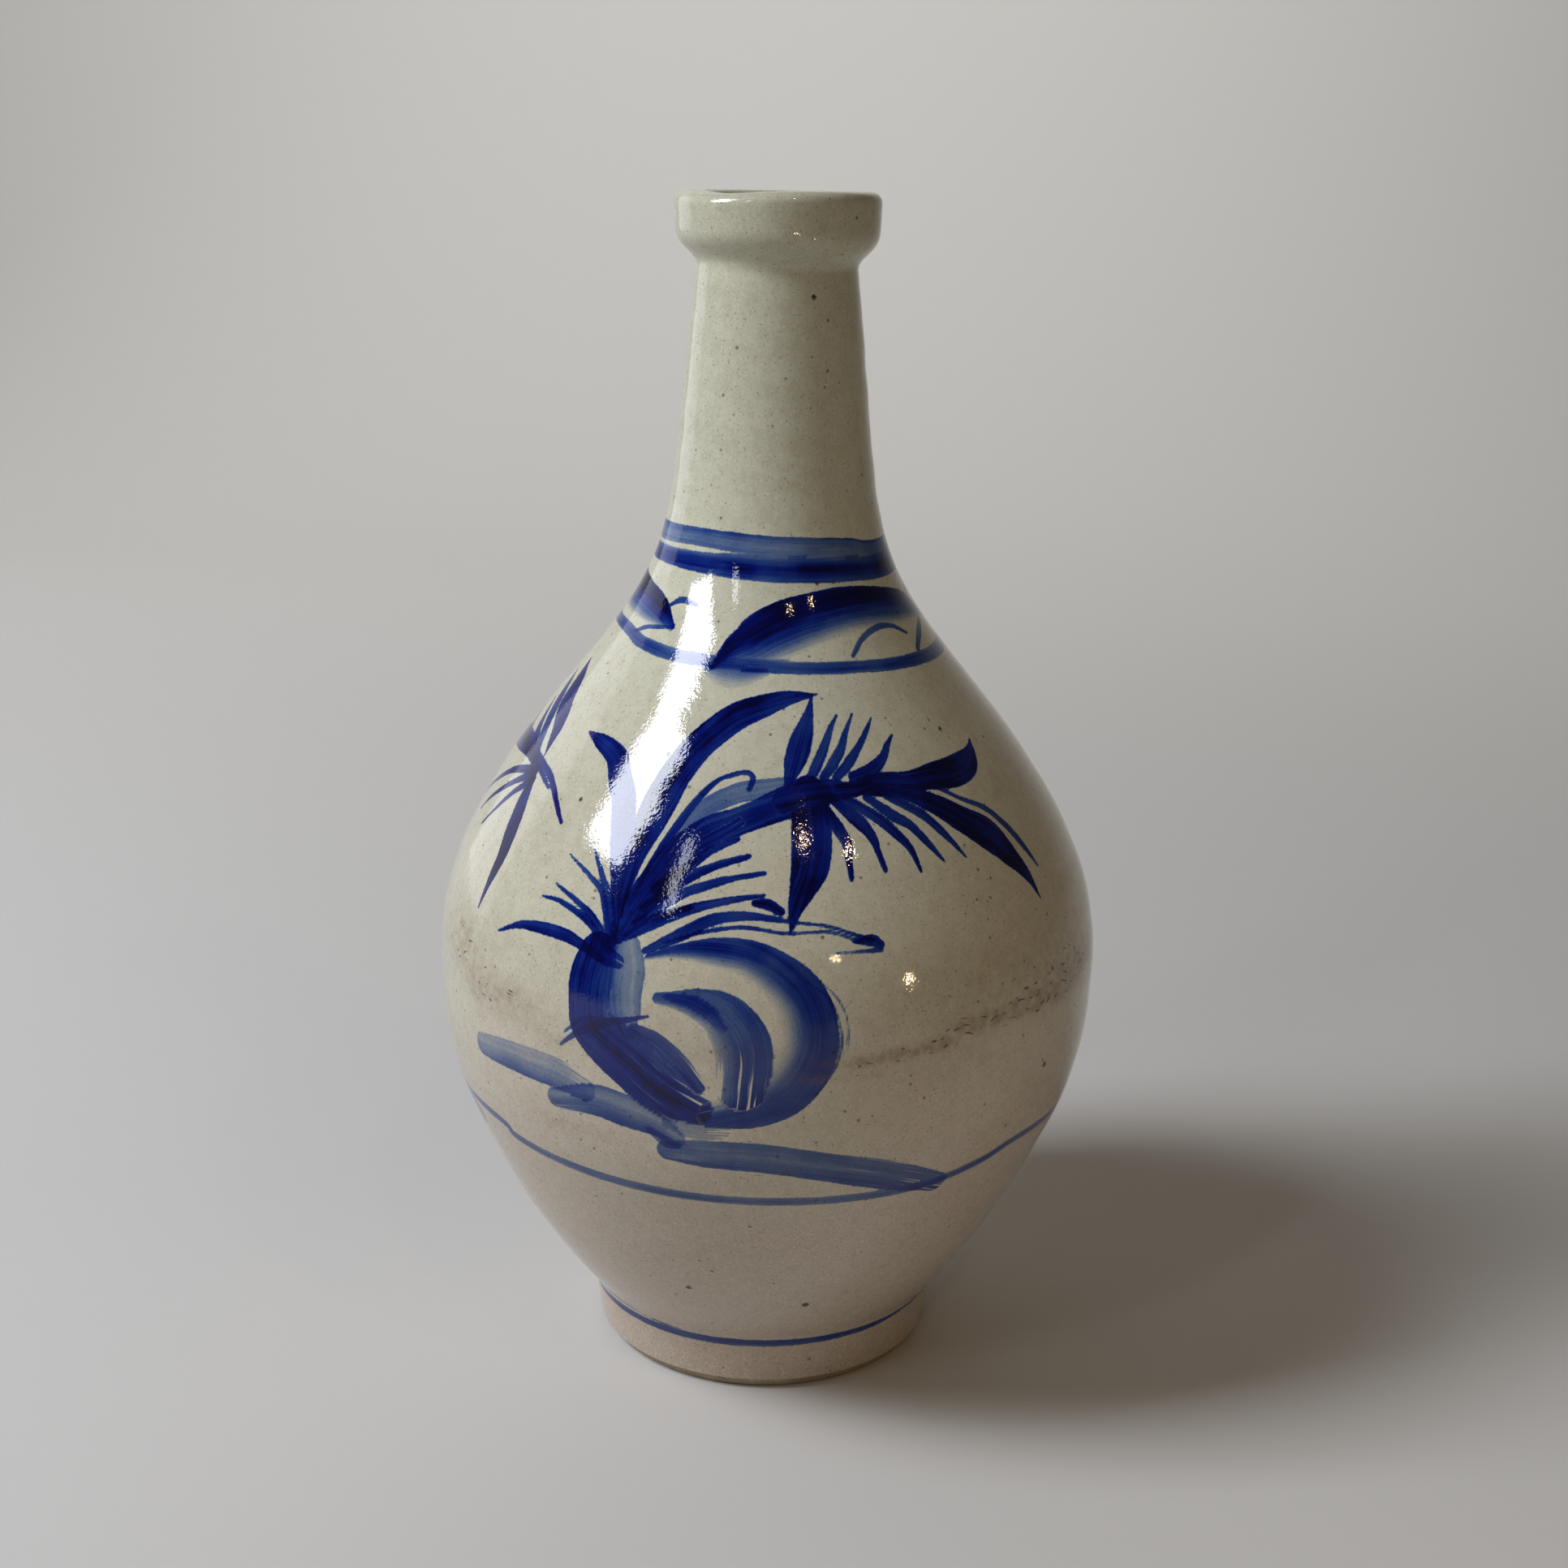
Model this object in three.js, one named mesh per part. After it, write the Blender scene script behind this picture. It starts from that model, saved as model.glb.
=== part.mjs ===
// A one-sho (1.8 litre) sake bottle of glazed stoneware, in millimetres, +Z up.
// The origin is the centre of the foot, on the surface that the bottle stands on.
//
// The potter throws the bottle on a wheel in stacked sections, so every section here is a turned
// solid: foot ring, lower body with the floor, upper body, neck and lip. The glaze is one thin glassy
// coat, which lines the inside, folds over the lip and covers the outside down to the bare foot.
import * as THREE from "three";

// ---- Driving dimensions ----
const FOOT_RADIUS = 41.7; // at the top of the foot
const FOOT_TAPER = 1.4; // how much narrower the foot is at the glaze line
const FOOT_HEIGHT = 12.5; // up to the corner under the belly
const RECESS_DEPTH = 7; // hollow under the floor, which the foot ring stands around
const CONTACT_WIDTH = 3.8; // flat that the bottle stands on
const BEVEL_WIDTH = 1.6; // bare bevel between that flat and the glaze line
const GLAZE_LINE_HEIGHT = 2.6;
const RECESS_DRAFT = 1.2; // how much the recess narrows towards the floor
const FLOOR_THICKNESS = 7;

const BELLY_HEIGHT = 97; // widest level above the table
const BELLY_RADIUS = 77.2;
const SHOULDER_RISE = 66; // from the widest level to where the curve turns towards the neck
const SHOULDER_RADIUS = 45.3;
const NECK_RISE = 91.5; // from the shoulder to under the lip
const NECK_RADIUS = 17.8; // under the lip
const LIP_HEIGHT = 15.5;
const LIP_RADIUS = 22.8;
const LIP_CORNER = 2.5; // rounding of the lip's top edges
const MOUTH_RADIUS = 14.5; // bore at the lip

const BODY_WALL = 5;
const NECK_WALL = 4;
const GLAZE = 0.4;
const SEAT = 0.002; // hairline between coat and clay, so that the solids don't share faces
const BORE_TAPER = 1.5; // height over which the lip's bore narrows to the neck's

// ---- How the outline bends: leans are degrees outwards from upright, pulls are shares of a chord ----
const FOOT_LEAN = 8;
const BELLY_START_LEAN = 38;
const LOWER_WALL_LEAN = 24;
const SHOULDER_LEAN = -40;
const NECK_LEAN = -6.4;
const CORNER_OUT = 2.5; // size of the hollow corner between foot and belly
const CORNER_UP = 4.5;
const LOWER_WALL_AT = { height: 0.44, radius: 0.667 }; // share of the way from foot to belly
const NECK_JOINT_AT = 3; // steps up the neck curve where the neck is joined on

const SIDES = 44; // facets round the bottle
const STEPS = { floor: 2, corner: 2, lower: 3, wall: 4, shoulder: 6, neck: 8, lip: 4, round: 3 };

const radians = THREE.MathUtils.degToRad;
const lerp = THREE.MathUtils.lerp;

// ---- Outline: samples of radius r and height z, with the outward normal (nr, nz) ----
// A station is a point of the outline with the wall's lean there.
const station = (r, z, lean) => ({ r, z, lean });

const heading = (s) => new THREE.Vector2(Math.sin(radians(s.lean)), Math.cos(radians(s.lean)));
const point = (s) => new THREE.Vector2(s.r, s.z);

// A cubic curve between two stations, which leaves and arrives along their leans.
function bend(from, to, pulls, steps) {
  const chord = point(from).distanceTo(point(to));
  const curve = new THREE.CubicBezierCurve(
    point(from),
    point(from).addScaledVector(heading(from), chord * pulls[0]),
    point(to).addScaledVector(heading(to), -chord * pulls[1]),
    point(to),
  );
  const ends = { 0: heading(from), [steps]: heading(to) };
  return Array.from({ length: steps + 1 }, (_, i) => {
    const place = curve.getPoint(i / steps);
    const way = ends[i] ?? curve.getTangent(i / steps);
    return { r: place.x, z: place.y, nr: way.y, nz: -way.x };
  });
}

// The same samples moved inwards, along their normals.
const inset = (samples, depth) =>
  samples.map((s) => ({ ...s, r: s.r - s.nr * depth, z: s.z - s.nz * depth }));
const last = (list) => list[list.length - 1];

const glazeLine = station(FOOT_RADIUS - FOOT_TAPER, GLAZE_LINE_HEIGHT, FOOT_LEAN);
const footTop = station(FOOT_RADIUS, FOOT_HEIGHT, FOOT_LEAN);
const bellyStart = station(FOOT_RADIUS + CORNER_OUT, FOOT_HEIGHT + CORNER_UP, BELLY_START_LEAN);
const lowerWall = station(
  lerp(bellyStart.r, BELLY_RADIUS, LOWER_WALL_AT.radius),
  lerp(bellyStart.z, BELLY_HEIGHT, LOWER_WALL_AT.height),
  LOWER_WALL_LEAN,
);
const belly = station(BELLY_RADIUS, BELLY_HEIGHT, 0);
const shoulder = station(SHOULDER_RADIUS, BELLY_HEIGHT + SHOULDER_RISE, SHOULDER_LEAN);
const neckTop = station(NECK_RADIUS, shoulder.z + NECK_RISE, NECK_LEAN);
const rimHeight = neckTop.z + LIP_HEIGHT;
const lipSide = station(LIP_RADIUS - 0.2, neckTop.z + LIP_HEIGHT * 0.54, 1);
const lipEdge = station(LIP_RADIUS, rimHeight - LIP_CORNER, 1);

// The foot's side passes the height of the joint between foot ring and lower body. The coat's
// thickness is level there, so that the joint is a flat.
const footSide = (z) => {
  const share = (z - glazeLine.z) / (footTop.z - glazeLine.z);
  return { r: lerp(glazeLine.r, footTop.r, share), z, nr: 1, nz: 0 };
};
const footLow = footSide(GLAZE_LINE_HEIGHT);
const footJoint = footSide(RECESS_DEPTH);

const cornerCurve = bend(footTop, bellyStart, [0.35, 0.35], STEPS.corner);
const lowerCurve = bend(bellyStart, lowerWall, [0.35, 0.32], STEPS.lower);
const wallCurve = bend(lowerWall, belly, [0.28, 0.52], STEPS.wall);
const shoulderCurve = bend(belly, shoulder, [0.19, 0.62], STEPS.shoulder);
const neckCurve = bend(shoulder, neckTop, [0.41, 0.63], STEPS.neck);
const lipCurve = bend(station(neckTop.r, neckTop.z, 0), lipSide, [0.34, 0.46], STEPS.lip);

// A quarter round of the lip's edge, from one direction of the normal to another.
function quarter(centreR, centreZ, radius, fromDegrees, toDegrees) {
  return Array.from({ length: STEPS.round + 1 }, (_, i) => {
    const angle = radians(lerp(fromDegrees, toDegrees, i / STEPS.round));
    const [nr, nz] = [Math.cos(angle), Math.sin(angle)];
    return { r: centreR + radius * nr, z: centreZ + radius * nz, nr, nz };
  });
}
const outerEdge = quarter(lipEdge.r - LIP_CORNER, lipEdge.z, LIP_CORNER, 0, 90);
const innerEdge = quarter(MOUTH_RADIUS + LIP_CORNER, lipEdge.z, LIP_CORNER, 90, 180);
const mouthLow = { r: MOUTH_RADIUS, z: neckTop.z + BORE_TAPER, nr: -1, nz: 0 };

// Each stretch of the outline belongs to one section of clay.
const lowerOutline = [...cornerCurve, ...lowerCurve.slice(1), ...wallCurve.slice(1)];
const upperOutline = [...shoulderCurve, ...neckCurve.slice(1, NECK_JOINT_AT + 1)];
const neckOutline = neckCurve.slice(NECK_JOINT_AT);
const lipOutline = [last(neckCurve), ...lipCurve.slice(1), ...outerEdge, ...innerEdge, mouthLow];

// The clay starts under the coat, and its inside follows the outside, a wall's thickness in. The
// wall thins from the widest level to the shoulder.
const clay = (samples) => inset(samples, GLAZE);
const wallOf = (s) =>
  lerp(BODY_WALL, NECK_WALL, THREE.MathUtils.clamp((s.z - belly.z) / SHOULDER_RISE, 0, 1));
const inside = (samples) => samples.flatMap((s) => inset([s], GLAZE + wallOf(s)));
const wallInside = inside([...lowerCurve, ...wallCurve.slice(1)]);

// Inside, the floor is flat in the middle and curves up into the wall.
const floorTop = RECESS_DEPTH + FLOOR_THICKNESS;
const [wallFoot] = wallInside;
const floorCurve = bend(
  station(wallFoot.r * 0.55, floorTop, 90),
  station(wallFoot.r, wallFoot.z, BELLY_START_LEAN),
  [0.4, 0.3],
  STEPS.floor,
);
const floorInside = [{ r: 0, z: floorTop, nr: 0, nz: -1 }, ...floorCurve];

// ---- Turned solids ----
const at = (r, z) => ({ r, z });

// A profile that closes on itself, or one that starts and ends on the axis, turned about +Z.
function turned(name, profile, material) {
  const points = profile.map(point);
  if (points[0].x > 0) points.push(points[0].clone());
  const geometry = new THREE.LatheGeometry(points, SIDES).rotateX(Math.PI / 2);
  const mesh = new THREE.Mesh(geometry, material);
  mesh.name = name;
  return mesh;
}

const stoneware = new THREE.MeshStandardMaterial({ color: 0xc9bfa9, roughness: 0.9 });
const clearGlaze = new THREE.MeshStandardMaterial({ color: 0xbdbaa6, roughness: 0.15 });

// The ring that the bottle stands on: a flat, a bare bevel outside it and a drafted recess inside.
function footRing() {
  const outerFoot = clay([footLow])[0];
  const flatOuter = outerFoot.r - BEVEL_WIDTH;
  const flatInner = flatOuter - CONTACT_WIDTH;
  return turned(
    "foot_ring",
    [at(flatInner, 0), at(flatOuter, 0), outerFoot, clay([footJoint])[0],
      at(flatInner - RECESS_DRAFT, RECESS_DEPTH)],
    stoneware,
  );
}

// Floor, foot corner and the wall up to the widest level.
function lowerBody() {
  return turned(
    "lower_body",
    [at(0, RECESS_DEPTH), ...clay([footJoint, ...lowerOutline]), ...[...wallInside].reverse(),
      ...[...floorInside].reverse().slice(1)],
    stoneware,
  );
}

// A ring of wall between two joints.
const wallSection = (name, outline) =>
  turned(name, [...clay(outline), ...inside(outline).reverse()], stoneware);

// The thick collar round the mouth, whose bore opens a little from the neck's.
const lipCollar = () =>
  turned("lip_collar", [...clay(lipOutline), ...inside([last(neckCurve)])], stoneware);

// The coat covers all the clay above the foot's bevel, inside and outside, and follows its faces.
function glazeCoat() {
  const neckInside = inside([...shoulderCurve.slice(1), ...neckCurve.slice(1)]);
  const within = [...floorInside, ...wallInside.slice(1), ...neckInside];
  const over = [footLow, footJoint, ...lowerOutline, ...shoulderCurve.slice(1), ...neckCurve.slice(1),
    ...lipOutline.slice(1)];
  return turned(
    "glaze_coat",
    [...inset(within, SEAT), ...inset(over, GLAZE - SEAT).reverse(), ...over,
      ...inset(within, GLAZE).reverse()],
    clearGlaze,
  );
}

const bottle = new THREE.Group();
bottle.add(
  footRing(),
  lowerBody(),
  wallSection("upper_body", upperOutline),
  wallSection("neck", neckOutline),
  lipCollar(),
  glazeCoat(),
);
export default bottle;
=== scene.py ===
"""A glazed stoneware sake bottle with brushed cobalt decoration. Metres, +Z up, foot on the floor."""

import math

import bpy
import numpy as np
from mathutils import Matrix, Vector


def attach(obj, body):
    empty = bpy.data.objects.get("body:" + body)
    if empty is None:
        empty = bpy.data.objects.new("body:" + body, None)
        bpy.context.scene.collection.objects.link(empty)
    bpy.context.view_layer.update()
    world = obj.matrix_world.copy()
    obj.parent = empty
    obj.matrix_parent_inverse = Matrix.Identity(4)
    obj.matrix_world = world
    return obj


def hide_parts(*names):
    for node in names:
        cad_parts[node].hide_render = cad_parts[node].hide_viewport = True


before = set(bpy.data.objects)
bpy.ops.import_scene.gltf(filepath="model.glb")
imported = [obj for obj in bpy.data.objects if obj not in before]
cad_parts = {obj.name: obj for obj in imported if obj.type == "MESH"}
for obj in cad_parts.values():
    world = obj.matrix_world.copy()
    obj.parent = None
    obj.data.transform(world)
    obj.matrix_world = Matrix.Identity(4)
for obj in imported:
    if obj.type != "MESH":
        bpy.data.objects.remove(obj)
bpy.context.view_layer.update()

MM = 0.001
scene = bpy.context.scene

# ---------------------------------------------------------------------------
# Shape: the turned outline, in millimetres
# ---------------------------------------------------------------------------
# A station is a point of the outline: radius, height, and the wall's lean from upright in degrees.
FOOT_TOP = (41.7, 12.5, 8)
BELLY_START = (44.2, 17.0, 38)
LOWER_WALL = (66.2, 52.2, 24)
WIDEST = (77.2, 97.0, 0)
SHOULDER = (45.3, 163.0, -40)
NECK_TOP = (17.8, 254.5, -6.4)
LIP_SIDE = (22.6, 262.9, 1)
LIP_RADIUS = 22.8
LIP_ROUND = 2.5
RIM = 270.0
MOUTH_RADIUS = 14.5
FLOOR_TOP = 14.4
BORE_BOTTOM = NECK_TOP[1] + 1.5  # where the straight bore of the lip ends
GLAZE = 0.4  # thickness of the coat, inside and outside
FOOT_CORNER_POINTS = 40  # points on the first bend of the outline, which the inside leaves out
FLOOR_FLAT = 0.55  # the flat middle of the floor, as a share of the radius where its curve ends
GLAZE_EDGE = (40.02, 2.92)  # centre of the rounded edge where the coat ends on the foot
GLAZE_EDGE_ROUND = 0.32
GIRTH = WIDEST[0]  # places on the decoration are measured round this widest girth


def bend(start, end, pulls, count):
    """Points of the smooth curve that leaves one station and reaches the next along their leans."""
    a, b = np.array(start[:2], float), np.array(end[:2], float)
    leave, reach = [np.array([math.sin(lean), math.cos(lean)]) for lean in np.radians([start[2], end[2]])]
    chord = np.linalg.norm(b - a)
    c, d = a + leave * chord * pulls[0], b - reach * chord * pulls[1]
    t = np.linspace(0, 1, count + 1)[:, None]
    return (1 - t) ** 3 * a + 3 * (1 - t) ** 2 * t * c + 3 * (1 - t) * t**2 * d + t**3 * b


def edge_round(centre, radius, start, end, count=5):
    """Points of a rounded edge, between two directions in degrees."""
    t = np.radians(np.linspace(start, end, count + 1))
    return np.stack([centre[0] + radius * np.cos(t), centre[1] + radius * np.sin(t)], 1)


def spaced(line, step):
    """The same line with its points about one step apart."""
    line = np.asarray(line, float)
    run = np.concatenate([[0], np.cumsum(np.linalg.norm(np.diff(line, axis=0), axis=1))])
    places = np.linspace(0, run[-1], max(2, math.ceil(run[-1] / step) + 1))
    return np.stack([np.interp(places, run, line[:, k]) for k in range(line.shape[1])], 1)


def outward(line):
    """Unit normals of an outline that climbs with its outside on the right."""
    way = np.gradient(line, axis=0)
    way /= np.linalg.norm(way, axis=1)[:, None]
    return np.stack([way[:, 1], -way[:, 0]], 1)


body_line = np.concatenate(
    [
        bend(FOOT_TOP, BELLY_START, (0.35, 0.35), FOOT_CORNER_POINTS),
        bend(BELLY_START, LOWER_WALL, (0.35, 0.32), 120)[1:],
        bend(LOWER_WALL, WIDEST, (0.28, 0.52), 160)[1:],
        bend(WIDEST, SHOULDER, (0.19, 0.62), 240)[1:],
        bend(SHOULDER, NECK_TOP, (0.41, 0.63), 320)[1:],
    ]
)


def between(line, low, high, step):
    """The stretch of an outline between two heights, with its points a step apart."""
    inside = line[(line[:, 1] > low) & (line[:, 1] < high)]
    ends = [[np.interp(h, line[:, 1], line[:, 0]), h] for h in (low, high)]
    return spaced(np.concatenate([ends[:1], inside, ends[1:]]), step)


def joined(*stretches):
    """Stretches of outline end to end, without the repeated points where they meet."""
    line = np.concatenate(stretches)
    keep = np.concatenate([[True], np.linalg.norm(np.diff(line, axis=0), axis=1) > 0.01])
    return line[keep]


# The rows are close together where the brushwork is.
outside = joined(
    between(body_line, FOOT_TOP[1], 60, 1.0),
    between(body_line, 60, 172, 0.48),
    between(body_line, 172, 200, 0.75),
    between(body_line, 200, NECK_TOP[1], 1.6),
)
lip = joined(
    spaced(bend((*NECK_TOP[:2], 0), LIP_SIDE, (0.3, 0.5), 30), 0.7),
    spaced([LIP_SIDE[:2], (LIP_RADIUS, RIM - LIP_ROUND)], 1.5),
    edge_round((LIP_RADIUS - LIP_ROUND, RIM - LIP_ROUND), LIP_ROUND, 0, 90),
    edge_round((MOUTH_RADIUS + LIP_ROUND, RIM - LIP_ROUND), LIP_ROUND, 90, 180),
    spaced([(MOUTH_RADIUS, RIM - LIP_ROUND), (MOUTH_RADIUS, BORE_BOTTOM)], 3),
)
# The clay is 5 mm thick on the body and 4 mm in the neck, with a coat of glaze on each side of it.
wall = 2 * GLAZE + np.interp(body_line[:, 1], [WIDEST[1], SHOULDER[1]], [5.0, 4.0])
wall_line = (body_line - outward(body_line) * wall[:, None])[FOOT_CORNER_POINTS:]
floor_edge = (wall_line[0, 0] * FLOOR_FLAT, FLOOR_TOP)
inside = joined(
    spaced(wall_line[::-1], 6),
    spaced(bend((*floor_edge, 90), (*wall_line[0], BELLY_START[2]), (0.4, 0.3), 20)[::-1], 5),
    spaced([floor_edge, (0, FLOOR_TOP)], 8),
)
glaze_edge = edge_round(GLAZE_EDGE, GLAZE_EDGE_ROUND, -100, -8, 4)
foot_side = spaced([glaze_edge[-1], (41.62, 12.1)], 1.2)
# The glazed piece closes inside the bare foot, which hides the stretch across its bottom.
hidden = [(0, 8.2), (20, 8.2), (39.4, 8.2), (39.75, 3.2)]
glazed_rows = joined(hidden, glaze_edge, foot_side, outside, lip, inside)


def columns():
    """Directions round the bottle, in radians from the front; closest where the brushwork is finest."""
    steps = [(-60, 60, 0.36), (60, 110, 0.7), (110, 250, 1.0), (250, 300, 0.7)]
    return np.radians(np.concatenate([np.arange(a, b, s) for a, b, s in steps]))


def turn(name, rows, angles, unevenness):
    """A closed turned solid from rows of (radius, height), which start and end on the axis."""
    ring = rows[1:-1]
    angle, radius = np.meshgrid(angles, ring[:, 0])
    height = np.repeat(ring[:, 1:2], len(angles), 1)
    radius, height = unevenness(angle, radius, height)
    points = np.stack([radius * np.sin(angle), -radius * np.cos(angle), height], 2).reshape(-1, 3)
    ends = np.array([[0, 0, rows[0, 1]], [0, 0, rows[-1, 1]]])
    points = np.concatenate([points, ends])
    many, across = len(ring), len(angles)
    place = np.arange(many * across).reshape(many, across)
    beside = np.roll(place, -1, axis=1)
    quads = np.stack([place[:-1], beside[:-1], beside[1:], place[1:]], 2).reshape(-1, 4)
    first, final = many * across, many * across + 1
    fans = [(first, b, a) for a, b in zip(place[0], beside[0])]
    fans += [(final, a, b) for a, b in zip(place[-1], beside[-1])]
    mesh = bpy.data.meshes.new(name)
    mesh.vertices.add(len(points))
    mesh.vertices.foreach_set("co", (points * MM).ravel())
    corners = np.concatenate([quads.ravel(), np.array(fans).ravel()])
    mesh.loops.add(len(corners))
    mesh.loops.foreach_set("vertex_index", corners)
    starts = np.concatenate([np.arange(len(quads)) * 4, len(quads) * 4 + np.arange(len(fans)) * 3])
    mesh.polygons.add(len(starts))
    mesh.polygons.foreach_set("loop_start", starts)
    mesh.polygons.foreach_set("use_smooth", np.ones(len(starts), bool))
    mesh.update(calc_edges=True)
    mesh.validate()
    piece = bpy.data.objects.new(name, mesh)
    scene.collection.objects.link(piece)
    return piece, points


def wave(place, length, lead):
    """A gentle wave of a given length, in millimetres."""
    return np.sin(place / length * 2 * np.pi + lead)


def band(height, low, high, rise, fall):
    """1 between two heights, falling to 0 at each of them over the distances given."""
    return np.clip((height - low) / rise, 0, 1) * np.clip((high - height) / fall, 0, 1)


def hand_thrown(angle, radius, height):
    """Faint finger rings, a slightly oval belly, and a lip with an uneven fold and a dip in its rim."""
    outer = np.clip(radius - np.interp(height, body_line[:, 1], body_line[:, 0]) + 2, 0, 1)
    rings = 0.05 * wave(height, 9.1, angle) + 0.05 * wave(height, 14.3, 2 * angle)
    swell = 0.05 * wave(height, 17, angle + 1.0) + 0.015 * wave(height, 8.3, -angle)
    oval = 0.22 * np.cos(2 * angle + 0.8) + 0.1 * np.cos(3 * angle)
    neck, body = band(height, 185, 262, 20, 10), band(height, 20, 185, 25, 25)
    radius = radius + outer * (neck * rings + body * (swell + oval))
    fold = 0.8 + 0.6 * np.sin(angle) + 0.25 * np.sin(3 * angle)
    height = height - band(height, 250.5, 267, 4, 6) * outer * fold
    off_dip = np.remainder(angle + 0.62 + np.pi, 2 * np.pi) - np.pi
    height = height - np.clip((height - 264) / 5, 0, 1) * 0.75 * np.exp(-((off_dip / 0.55) ** 2))
    return radius, height


# ---------------------------------------------------------------------------
# Brushwork: cobalt laid on the clay before it was glazed
# ---------------------------------------------------------------------------
# A place is (millimetres round the widest girth from the front, millimetres up). A stroke is laid on
# one of two coats, a thin wash or a full line over it. Its load is how much cobalt the brush carries,
# evenly spaced from its left side to its right side, looking along the stroke, and its dryness is the
# share of bristles that have run dry at its start and at its end.
NO_STROKE = -9.0  # distance inside a stroke, stored where none comes near


def surface(across, up):
    """The point of the turned outline at a place of the decoration."""
    angle, radius = np.asarray(across) / GIRTH, np.interp(up, body_line[:, 1], body_line[:, 0])
    return np.stack([radius * np.sin(angle), -radius * np.cos(angle), np.asarray(up, float)], -1)


def eased(places, step=0.5):
    """A smooth line through a stroke's few places; further values, such as width, ease along with it."""
    places = np.array(places, float)
    ends = 2 * places[0] - places[1], 2 * places[-1] - places[-2]
    knots = np.concatenate([[ends[0]], places, [ends[1]]])
    t = np.linspace(0, 1, 24, endpoint=False)[:, None]
    runs = []
    for a, b, c, d in zip(knots, knots[1:], knots[2:], knots[3:]):
        squared, cubed = 2 * a - 5 * b + 4 * c - d, 3 * b - 3 * c + d - a
        runs.append(0.5 * (2 * b + (c - a) * t + squared * t**2 + cubed * t**3))
    line = np.concatenate(runs + [places[-1:]])
    steps = np.linalg.norm(np.diff(surface(line[:, 0], line[:, 1]), axis=0), axis=1)
    run = np.concatenate([[0], np.cumsum(steps)])
    goal = np.linspace(0, run[-1], max(4, int(run[-1] / step)))
    return goal, np.stack([np.interp(goal, run, line[:, k]) for k in range(line.shape[1])], 1)


def wash(places, load, dry=(0.0, 0.1)):
    """A stroke of thin cobalt. Each place is (across, up, width)."""
    return {"coat": "wash", "places": places, "load": load, "dry": dry}


def line(places, load=0.9, dry=(0.0, 0.0)):
    """A stroke of full cobalt over the wash, evenly loaded."""
    return {"coat": "line", "places": places, "load": (load, load), "dry": dry}


def leaf(places, width, load=0.92):
    """A pointed brush pressed down and lifted again: narrow at both ends."""
    widths = [0.4 + width * math.sin(math.pi * t) ** 0.7 for t in np.linspace(0, 1, len(places))]
    return line([(*place, wide) for place, wide in zip(places, widths)], load)


def hair(places, width, load=0.85):
    """A quick stroke that starts full and lifts off to a finer tip."""
    widths = [width * (1 - 0.65 * t) for t in np.linspace(0, 1, len(places))]
    return line([(*place, wide) for place, wide in zip(places, widths)], load)


GROUND = [
    wash([(-73, 88, 5.5), (-61, 89, 7), (-48, 89, 7.5), (-40, 87, 5.5)],
         (0.18, 0.16, 0.28, 0.52), (0.0, 0.3)),
    wash([(-48, 83, 5), (-38, 85, 7.5), (-30, 84, 8), (-23, 82, 6), (-19, 79, 4)],
         (0.42, 0.22, 0.42, 0.58), (0.2, 0.1)),
    wash([(-20, 83, 4), (-14, 82, 5), (-9, 82, 3.5)], (0.16, 0.2, 0.16), (0.1, 0.4)),
    line([(-25, 80.5, 1.6), (-21, 78, 2.6), (-19, 77.5, 1.8)], 0.4, (0.0, 0.3)),
    wash([(-21, 76, 5), (-12, 76, 7), (0, 75.5, 7.4), (13, 73, 7.4), (28, 69, 8), (42, 64, 5.5)],
         (0.42, 0.4, 0.38, 0.54, 0.58), (0.1, 0.3)),
]
TURNIP = [
    # the left of the root, from the crown down to its tip
    wash([(-38, 117, 9), (-39, 112, 10.5), (-39, 107, 10), (-38, 102, 10.5), (-34, 99, 12), (-29, 96, 13),
          (-24, 92, 12.5), (-19, 89, 11.5), (-15, 87, 8)],
         (0.4, 0.8, 0.92, 0.94, 0.86), (0.0, 0.3)),
    wash([(-32, 119, 7.5), (-31, 115, 8.8), (-31, 110, 8.6), (-30, 105, 7.0), (-29, 103, 4.5)],
         (0.42, 0.2, 0.28, 0.46, 0.5), (0.0, 0.1)),
    wash([(-28, 103, 2.6), (-23, 101, 3.8), (-18, 97, 4.0), (-14, 92, 3.2)],
         (0.6, 0.64, 0.5), (0.1, 0.25)),
    # round the right, and back under
    wash([(-26, 118, 1.5), (-20, 119.5, 3), (-12, 120, 6), (-4, 119, 8), (2, 116, 9.8), (7, 111, 11.4),
          (9, 104, 12.1), (8, 98, 12.2), (4, 92, 11.8), (-3, 88, 10), (-11, 85.5, 6)],
         (0.6, 0.74, 0.72, 0.5, 0.16, 0.0), (0.0, 0.22)),
    line([(8, 115, 0.4), (13, 111, 0.6), (15.5, 104, 0.6), (14.5, 97, 0.6), (10, 90, 0.5)],
         0.5, (0.2, 0.4)),
    line([(11, 115, 0.3), (15.5, 110, 0.4), (17, 104, 0.5), (16, 97, 0.4)], 0.35, (0.3, 0.5)),
    # the crescent inside
    wash([(-23, 110, 2.5), (-19, 110, 4), (-14, 109.5, 7), (-9, 107.5, 10), (-5.5, 103, 12),
          (-4.5, 98, 12), (-5, 92.5, 11)],
         (0.52, 0.54, 0.56, 0.54, 0.34, 0.08), (0.05, 0.5)),
    wash([(-21, 110.5, 1.5), (-16, 110, 3), (-12, 108, 3.2), (-9, 105, 2)], (0.4, 0.45, 0.3), (0.1, 0.3)),
    line([(-46, 96, 0.7), (-41, 100, 1.6), (-35, 103, 2.0), (-30, 104.5, 1.3), (-25, 106, 0.7)],
         0.7, (0.0, 0.2)),
    line([(-45, 99, 0.5), (-40, 103, 1.0), (-34, 104, 0.8)], 0.6, (0.2, 0.4)),
    line([(-38, 119, 3), (-36, 117, 4.5), (-33, 116, 3)], 0.6, (0.1, 0.3)),
]
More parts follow.
